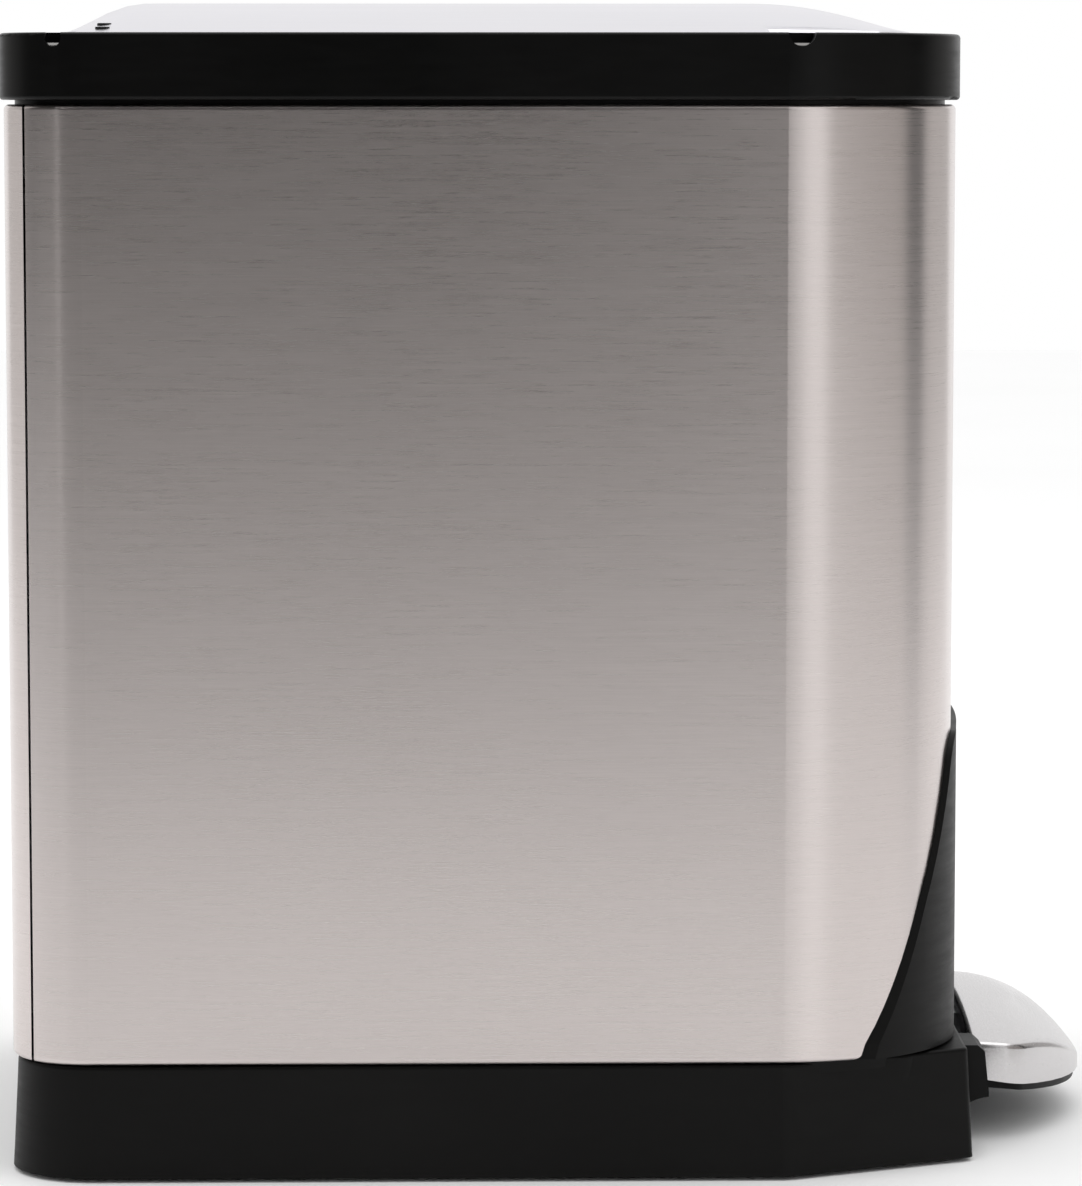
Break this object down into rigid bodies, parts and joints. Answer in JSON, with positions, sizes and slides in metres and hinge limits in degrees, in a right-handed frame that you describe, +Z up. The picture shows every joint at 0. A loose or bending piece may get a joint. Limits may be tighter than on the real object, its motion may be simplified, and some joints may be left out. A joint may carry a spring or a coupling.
{
  "type": "pedal trash can",
  "caption": "Step-on kitchen waste bin with two lid wings, brushed steel body, black collar and base, front pedal, lift mechanism and lift-out bucket.",
  "frame": {"origin": "centre of the bounding box on the floor", "axes": "-Y towards the pedal at the front, +X to the right seen from the back, +Z up"},
  "size_m": [0.2264, 0.31, 0.325],
  "materials": {
    "steel_wrap": "satin, fine horizontal brushing",
    "steel_lid": "satin, brushed front to back",
    "pedal_steel": "satin, brushed side to side",
    "stamped_steel": "zinc plated stamping",
    "bright_steel": "bright drawn wire",
    "spring_steel": "oiled wire",
    "satin_plastic": "satin moulded",
    "matte_plastic": "fine matt grain",
    "liner_plastic": "satin moulded",
    "plug_plastic": "satin moulded",
    "roller_plastic": "natural acetal",
    "bucket_plastic": "smooth moulded",
    "rubber": "matt"
  },
  "bodies": {
    "can": {"base": "matte_plastic", "shell": "steel_wrap", "rear_panel": "steel_wrap", "rear_grip": "matte_plastic", "front_shroud": "matte_plastic", "collar": "satin_plastic", "floor_plate": "liner_plastic", "floor_screws": "bright_steel", "axle": "bright_steel", "axle_bracket_left": "stamped_steel", "axle_bracket_right": "stamped_steel", "axle_bush_left": "roller_plastic", "axle_bush_right": "roller_plastic", "bracket_screws": "bright_steel", "pedal_stop": "rubber", "inner_wall": "liner_plastic", "rod_guide_lower": "roller_plastic", "rod_guide_upper": "roller_plastic", "damper_cylinder": "liner_plastic", "return_spring": "spring_steel", "lid_bumper_front_left": "rubber", "lid_bumper_rear_left": "rubber", "lid_bumper_front_right": "rubber", "lid_bumper_rear_right": "rubber", "hinge_pin_front_left": "bright_steel", "hinge_pin_rear_left": "bright_steel", "hinge_pin_front_right": "bright_steel", "hinge_pin_rear_right": "bright_steel", "foot_front_left": "rubber", "foot_rear_left": "rubber", "foot_front_right": "rubber", "foot_rear_right": "rubber"},
    "pedal": {"pedal_tread": "pedal_steel", "pedal_core": "matte_plastic", "pedal_lever": "stamped_steel", "lever_roller": "roller_plastic", "roller_pin": "bright_steel"},
    "lifter": {"lift_rod": "bright_steel", "crosshead": "liner_plastic", "rod_foot": "roller_plastic", "spring_clip": "stamped_steel", "damper_rod": "bright_steel"},
    "wing_left": {"lid_wing_left": "steel_lid", "lid_liner_left": "liner_plastic", "lid_plugs_left": "plug_plastic"},
    "wing_right": {"lid_wing_right": "steel_lid", "lid_liner_right": "liner_plastic", "lid_plugs_right": "plug_plastic"},
    "bucket": {"bucket": "bucket_plastic"},
    "bail": {"bail": "bright_steel"}
  },
  "joints": [
    {"name": "pedal_hinge", "type": "hinge", "parent": "can", "child": "pedal", "pos_m": [0, -0.065, 0.02], "axis": [1, 0, 0], "range_deg": [0, 6.93], "stiffness_Nm_per_rad": 1.2, "springref_deg": -20.05},
    {"name": "lifter_slide", "type": "slide", "parent": "can", "child": "lifter", "axis": [0, 0, 1], "range_m": [0, 0.02372], "deforming": ["return_spring"]},
    {"name": "wing_left_hinge", "type": "hinge", "parent": "can", "child": "wing_left", "pos_m": [-0.1052, 0, 0.311], "axis": [0, -1, 0], "range_deg": [0, 80]},
    {"name": "wing_right_hinge", "type": "hinge", "parent": "can", "child": "wing_right", "pos_m": [0.1052, 0, 0.311], "axis": [0, 1, 0], "range_deg": [0, 80]},
    {"name": "bucket_lift", "type": "slide", "parent": "can", "child": "bucket", "axis": [0, 0, 1], "range_m": [0, 0.005]},
    {"name": "bail_hinge", "type": "hinge", "parent": "bucket", "child": "bail", "pos_m": [0, 0.012, 0.2962], "axis": [-1, 0, 0], "range_deg": [0, 3]}
  ],
  "couplings": [
    {"joint": "lifter_slide", "follows": "pedal_hinge", "m_per_rad": 0.196},
    {"joint": "wing_left_hinge", "follows": "pedal_hinge", "ratio": 11.529},
    {"joint": "wing_right_hinge", "follows": "pedal_hinge", "ratio": 11.529}
  ]
}
